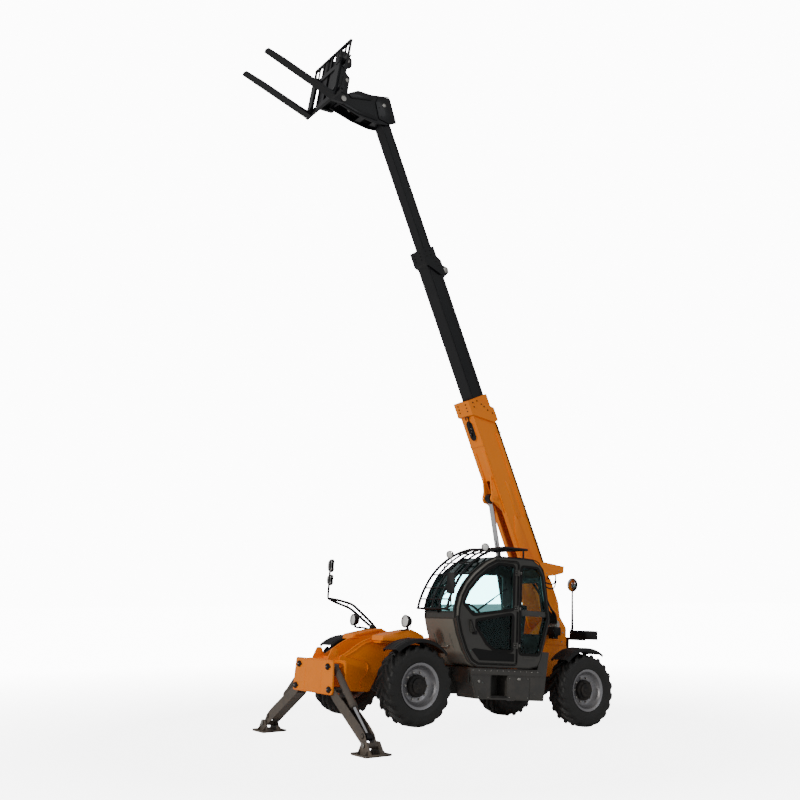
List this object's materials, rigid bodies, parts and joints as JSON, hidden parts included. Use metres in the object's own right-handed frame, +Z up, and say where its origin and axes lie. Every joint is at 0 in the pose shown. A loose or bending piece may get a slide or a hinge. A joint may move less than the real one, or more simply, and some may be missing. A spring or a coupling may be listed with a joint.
{
  "type": "telehandler",
  "caption": "Telescopic handler with a side cab, a three-stage boom with pallet forks and folding front stabilisers, standing nose-up on its stabiliser feet.",
  "frame": {"origin": "on the ground, midway along and across the whole machine as parked", "axes": "+X forwards, +Y to the left of the driver, +Z up; the machine itself is pitched nose-up on its stabilisers"},
  "size_m": [6.4464, 3.548, 11.4079],
  "materials": {
    "orange_paint": "bright orange paint",
    "charcoal_paint": "satin charcoal paint",
    "taupe_paint": "dark warm grey paint",
    "black_paint": "black paint",
    "black_plastic": "grained plastic",
    "tyre_rubber": "moulded rubber",
    "cast_iron": "painted casting",
    "chrome": "hard chrome",
    "glass": "clear tinted glass",
    "seat_cloth": "black cloth",
    "lamp": "clear lens and chrome bowl"
  },
  "bodies": {
    "chassis": {"belly_box": "charcoal_paint", "cab_shell": "charcoal_paint", "chassis_frame": "orange_paint", "counterweight": "charcoal_paint", "dashboard": "black_plastic", "engine": "cast_iron", "engine_hood": "orange_paint", "front_axle": "cast_iron", "headlight_left": "lamp", "headlight_right": "lamp", "hose_guard": "orange_paint", "mirror_right": "black_plastic", "quarter_glass": "glass", "rear_axle": "cast_iron", "rear_light_bar": "black_plastic", "right_glass": "glass", "seat": "seat_cloth", "stabiliser_box": "orange_paint", "windscreen": "glass", "windscreen_guard": "black_paint"},
    "boom_outer": {"boom_outer": "orange_paint"},
    "boom_mid": {"boom_mid": "black_paint"},
    "boom_inner": {"boom_inner": "black_paint"},
    "carriage": {"carriage_frame": "black_paint", "fork_left": "black_paint", "fork_right": "black_paint"},
    "cab_door": {"cab_door": "charcoal_paint", "door_upper_glass": "glass", "door_lower_glass": "glass"},
    "lift_barrel": {"lift_cylinder_barrel": "black_paint"},
    "lift_rod": {"lift_cylinder_rod": "chrome"},
    "tilt_barrel": {"tilt_cylinder_barrel": "black_paint"},
    "tilt_rod": {"tilt_cylinder_rod": "chrome"},
    "front_left_knuckle": {"front_left_knuckle": "black_plastic"},
    "front_left_wheel": {"front_left_wheel": "tyre_rubber"},
    "front_right_knuckle": {"front_right_knuckle": "black_plastic"},
    "front_right_wheel": {"front_right_wheel": "tyre_rubber"},
    "rear_left_knuckle": {"rear_left_knuckle": "black_plastic"},
    "rear_left_wheel": {"rear_left_wheel": "tyre_rubber"},
    "rear_right_knuckle": {"rear_right_knuckle": "black_plastic"},
    "rear_right_wheel": {"rear_right_wheel": "tyre_rubber"},
    "stabiliser_left_leg": {"stabiliser_left_leg": "taupe_paint"},
    "stabiliser_left_foot": {"stabiliser_left_foot": "taupe_paint"},
    "stabiliser_left_barrel": {"stabiliser_left_cylinder_barrel": "black_paint"},
    "stabiliser_left_rod": {"stabiliser_left_cylinder_rod": "chrome"},
    "stabiliser_right_leg": {"stabiliser_right_leg": "taupe_paint"},
    "stabiliser_right_foot": {"stabiliser_right_foot": "taupe_paint"},
    "stabiliser_right_barrel": {"stabiliser_right_cylinder_barrel": "black_paint"},
    "stabiliser_right_rod": {"stabiliser_right_cylinder_rod": "chrome"}
  },
  "joints": [
    {"name": "front_left_steer", "type": "hinge", "parent": "chassis", "child": "front_left_knuckle", "pos_m": [0.82214, 0.69, 0.82954], "axis": [-0.0705, 0, 0.9975], "range_deg": [-35, 35]},
    {"name": "front_left_roll", "type": "hinge", "parent": "front_left_knuckle", "child": "front_left_wheel", "pos_m": [0.82214, 0.9875, 0.82954], "axis": [0, 1, 0], "continuous": true},
    {"name": "front_right_steer", "type": "hinge", "parent": "chassis", "child": "front_right_knuckle", "pos_m": [0.82214, -0.69, 0.82954], "axis": [-0.0705, 0, 0.9975], "range_deg": [-35, 35]},
    {"name": "front_right_roll", "type": "hinge", "parent": "front_right_knuckle", "child": "front_right_wheel", "pos_m": [0.82214, -0.9875, 0.82954], "axis": [0, 1, 0], "continuous": true},
    {"name": "rear_left_steer", "type": "hinge", "parent": "chassis", "child": "rear_left_knuckle", "pos_m": [-2.56941, 0.69, 0.59], "axis": [-0.0705, 0, 0.9975], "range_deg": [-35, 35]},
    {"name": "rear_left_roll", "type": "hinge", "parent": "rear_left_knuckle", "child": "rear_left_wheel", "pos_m": [-2.56941, 0.9875, 0.59], "axis": [0, 1, 0], "continuous": true},
    {"name": "rear_right_steer", "type": "hinge", "parent": "chassis", "child": "rear_right_knuckle", "pos_m": [-2.56941, -0.69, 0.59], "axis": [-0.0705, 0, 0.9975], "range_deg": [-35, 35]},
    {"name": "rear_right_roll", "type": "hinge", "parent": "rear_right_knuckle", "child": "rear_right_wheel", "pos_m": [-2.56941, -0.9875, 0.59], "axis": [0, 1, 0], "continuous": true},
    {"name": "cab_door_swing", "type": "hinge", "parent": "chassis", "child": "cab_door", "pos_m": [-1.10851, 1.163, 1.9062], "axis": [-0.0705, 0, 0.9975], "range_deg": [0, 90]},
    {"name": "boom_lift", "type": "hinge", "parent": "chassis", "child": "boom_outer", "pos_m": [-2.69396, 0, 1.64384], "axis": [0, -1, 0], "range_deg": [-66, 4]},
    {"name": "boom_mid_slide", "type": "slide", "parent": "boom_outer", "child": "boom_mid", "axis": [0.3804, 0, 0.9248], "range_m": [-2.15, 0]},
    {"name": "boom_inner_slide", "type": "slide", "parent": "boom_mid", "child": "boom_inner", "axis": [0.3804, 0, 0.9248], "range_m": [-2, 0]},
    {"name": "carriage_tilt", "type": "hinge", "parent": "boom_inner", "child": "carriage", "pos_m": [1.66272, 0, 10.5028], "axis": [0, 1, 0], "range_deg": [-50, 60]},
    {"name": "lift_barrel_pivot", "type": "hinge", "parent": "chassis", "child": "lift_barrel", "pos_m": [-1.94053, 0, 1.19581], "axis": [0, -1, 0], "range_deg": [-68.8, 4.2]},
    {"name": "lift_rod_slide", "type": "slide", "parent": "lift_barrel", "child": "lift_rod", "axis": [0.1558, 0, 0.9878], "range_m": [-0.946, 0.058]},
    {"name": "tilt_barrel_pivot", "type": "hinge", "parent": "boom_inner", "child": "tilt_barrel", "pos_m": [0.78936, 0, 10.66166], "axis": [0, 1, 0], "range_deg": [-3.4, 4]},
    {"name": "tilt_rod_slide", "type": "slide", "parent": "tilt_barrel", "child": "tilt_rod", "axis": [0.992, 0, 0.1263], "range_m": [-0.208, 0.249]},
    {"name": "stabiliser_left_fold", "type": "hinge", "parent": "chassis", "child": "stabiliser_left_leg", "pos_m": [1.8926, 0.52, 0.78986], "axis": [-0.9975, 0, -0.0705], "range_deg": [-85, 0]},
    {"name": "stabiliser_left_foot_tilt", "type": "hinge", "parent": "stabiliser_left_leg", "child": "stabiliser_left_foot", "pos_m": [1.9392, 1.574, 0.13], "axis": [-0.9975, 0, -0.0705], "range_deg": [-25, 25]},
    {"name": "stabiliser_left_barrel_pivot", "type": "hinge", "parent": "chassis", "child": "stabiliser_left_barrel", "pos_m": [1.8697, 0.45, 1.11405], "axis": [-0.9975, 0, -0.0705], "range_deg": [-77.2, 0]},
    {"name": "stabiliser_left_rod_slide", "type": "slide", "parent": "stabiliser_left_barrel", "child": "stabiliser_left_rod", "axis": [0.0456, 0.7623, -0.6456], "range_m": [-0.43, 0]},
    {"name": "stabiliser_right_fold", "type": "hinge", "parent": "chassis", "child": "stabiliser_right_leg", "pos_m": [1.8926, -0.52, 0.78986], "axis": [0.9975, 0, 0.0705], "range_deg": [-85, 0]},
    {"name": "stabiliser_right_foot_tilt", "type": "hinge", "parent": "stabiliser_right_leg", "child": "stabiliser_right_foot", "pos_m": [1.9392, -1.574, 0.13], "axis": [0.9975, 0, 0.0705], "range_deg": [-25, 25]},
    {"name": "stabiliser_right_barrel_pivot", "type": "hinge", "parent": "chassis", "child": "stabiliser_right_barrel", "pos_m": [1.8697, -0.45, 1.11405], "axis": [0.9975, 0, 0.0705], "range_deg": [-77.2, 0]},
    {"name": "stabiliser_right_rod_slide", "type": "slide", "parent": "stabiliser_right_barrel", "child": "stabiliser_right_rod", "axis": [0.0456, -0.7623, -0.6456], "range_m": [-0.43, 0]}
  ],
  "couplings": [
    {"joint": "front_right_steer", "follows": "front_left_steer", "ratio": 1},
    {"joint": "rear_right_steer", "follows": "rear_left_steer", "ratio": 1},
    {"joint": "boom_inner_slide", "follows": "boom_mid_slide", "ratio": 0.93},
    {"joint": "lift_barrel_pivot", "follows": "boom_lift", "ratio": 1.0412},
    {"joint": "lift_rod_slide", "follows": "boom_lift", "m_per_rad": 0.8207},
    {"joint": "tilt_barrel_pivot", "follows": "carriage_tilt", "ratio": 0.0658},
    {"joint": "tilt_rod_slide", "follows": "carriage_tilt", "m_per_rad": 0.2373},
    {"joint": "stabiliser_left_barrel_pivot", "follows": "stabiliser_left_fold", "ratio": 0.9068},
    {"joint": "stabiliser_left_rod_slide", "follows": "stabiliser_left_fold", "m_per_rad": 0.2878},
    {"joint": "stabiliser_right_barrel_pivot", "follows": "stabiliser_right_fold", "ratio": 0.9068},
    {"joint": "stabiliser_right_rod_slide", "follows": "stabiliser_right_fold", "m_per_rad": 0.2878}
  ]
}
